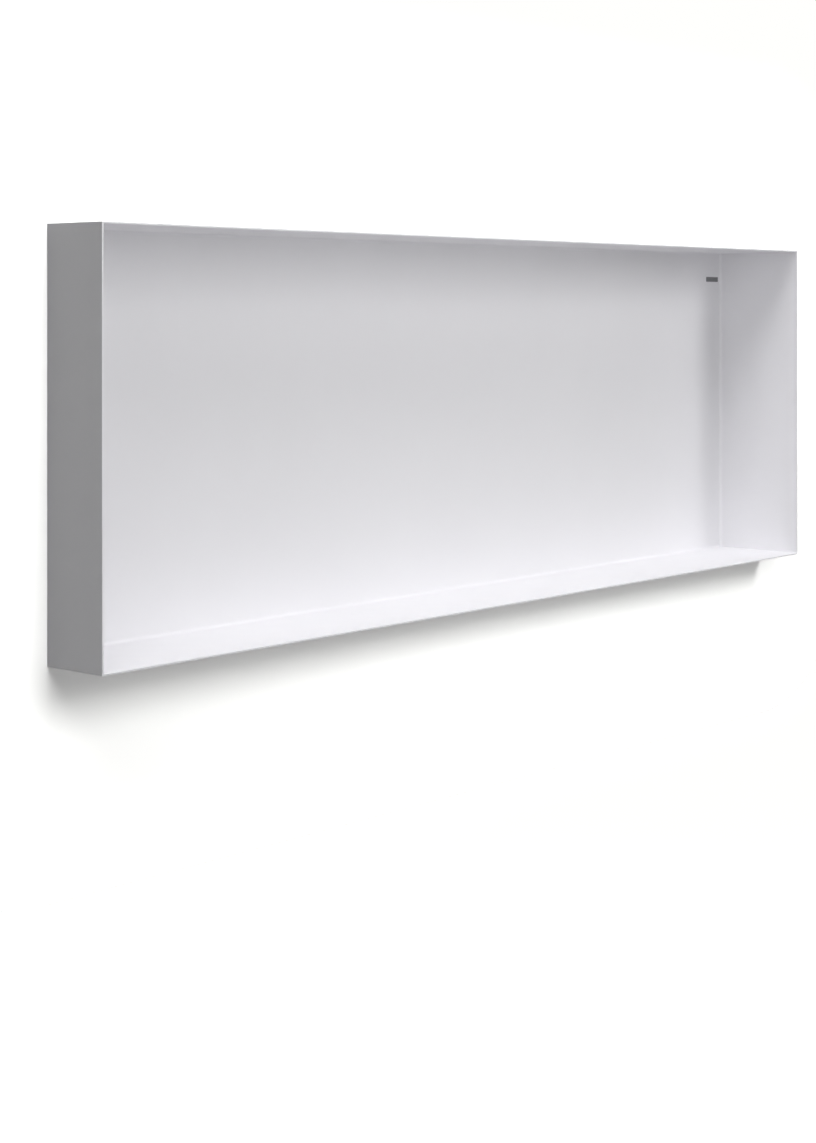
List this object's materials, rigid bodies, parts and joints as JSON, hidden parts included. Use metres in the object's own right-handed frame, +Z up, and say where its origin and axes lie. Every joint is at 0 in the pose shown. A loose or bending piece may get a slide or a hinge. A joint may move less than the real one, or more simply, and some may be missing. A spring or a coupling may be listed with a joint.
{
  "type": "shower niche insert",
  "caption": "Long open-fronted white box folded from one metal sheet, let into a shower wall as a recessed shelf for bottles and soap.",
  "frame": {"origin": "middle of the back panel's outside face, which is bedded against the back of the wall recess", "axes": "+X to the right seen from the front, +Y into the wall, +Z up; the open front faces -Y"},
  "size_m": [0.9, 0.09, 0.3],
  "materials": {
    "white_coat": "satin white powder coat with a very fine orange peel"
  },
  "bodies": {
    "root": {"niche_box": "white_coat"}
  },
  "joints": []
}
